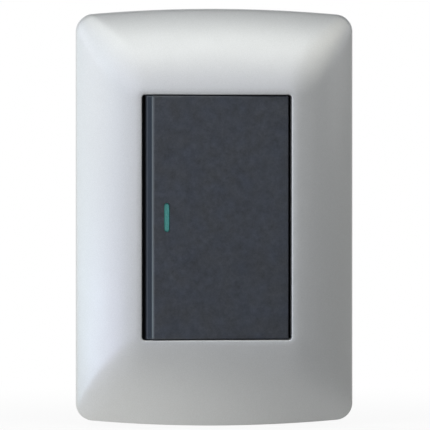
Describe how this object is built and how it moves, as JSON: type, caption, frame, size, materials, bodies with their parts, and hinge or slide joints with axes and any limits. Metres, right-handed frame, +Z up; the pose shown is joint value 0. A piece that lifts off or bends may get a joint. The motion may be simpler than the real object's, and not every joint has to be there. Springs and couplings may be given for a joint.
{
  "type": "light switch",
  "caption": "Light switch with a wide rocker key and an upright lens in a pillow-shaped wall plate, with mounting frame, snap mechanism and wall box screws.",
  "frame": {"origin": "midway between the two wall box screws, on the wall plane behind the plate", "axes": "+X right as seen from the room, +Z up, +Y into the wall; the plate and key face -Y"},
  "size_m": [0.08, 0.0352, 0.1202],
  "materials": {
    "silver_plate": "satin metallic silver lacquer",
    "frame_plastic": "moulded, lightly grained",
    "zinc_steel": "bright zinc plated",
    "black_plastic": "moulded, matt",
    "charcoal_plastic": "moulded, finely mottled satin",
    "teal_lens": "translucent, polished",
    "natural_nylon": "natural nylon",
    "spring_steel": "drawn wire",
    "grey_plastic": "moulded",
    "brass": "rolled strip",
    "copper_alloy": "phosphor bronze strip",
    "contact_silver": "polished silver alloy",
    "lamp_glass": "clear",
    "electrode_nickel": "nickel rod",
    "tinned_wire": "tinned",
    "resistor_body": "lacquered"
  },
  "bodies": {
    "root": {"cover_plate": "silver_plate", "mounting_frame": "frame_plastic", "box_screws": "zinc_steel", "rocker_tray": "black_plastic", "mechanism_cover": "grey_plastic", "mechanism_base": "grey_plastic", "housing_rivets": "brass", "fixed_contact": "contact_silver", "common_terminal": "brass", "switched_terminal": "brass", "terminal_clamps": "zinc_steel", "terminal_screws": "zinc_steel", "lamp_holder": "natural_nylon", "neon_lamp": "lamp_glass", "lamp_electrodes": "electrode_nickel", "lamp_leads": "tinned_wire", "lamp_resistor": "resistor_body"},
    "rocker": {"rocker_key": "charcoal_plastic", "indicator_lens": "teal_lens", "rocker_actuator": "natural_nylon", "plunger_spring": "spring_steel"},
    "plunger": {"spring_plunger": "natural_nylon"},
    "contact_lever": {"contact_blade": "copper_alloy", "moving_contact": "contact_silver"}
  },
  "joints": [
    {"name": "rocker_turn", "type": "hinge", "parent": "root", "child": "rocker", "pos_m": [0, -0.006, 0], "axis": [0, 0, -1], "range_deg": [0, 7]},
    {"name": "plunger_slide", "type": "slide", "parent": "rocker", "child": "plunger", "axis": [0.061, -0.9981, 0], "range_m": [0, 0.0008], "stiffness_N_per_m": 600, "springref_m": -0.002, "deforming": ["plunger_spring"]},
    {"name": "blade_rock", "type": "hinge", "parent": "root", "child": "contact_lever", "pos_m": [0, 0.0096, 0], "axis": [0, 0, -1], "range_deg": [-14, 0]}
  ],
  "couplings": [
    {"joint": "blade_rock", "follows": "rocker_turn", "ratio": -2}
  ]
}
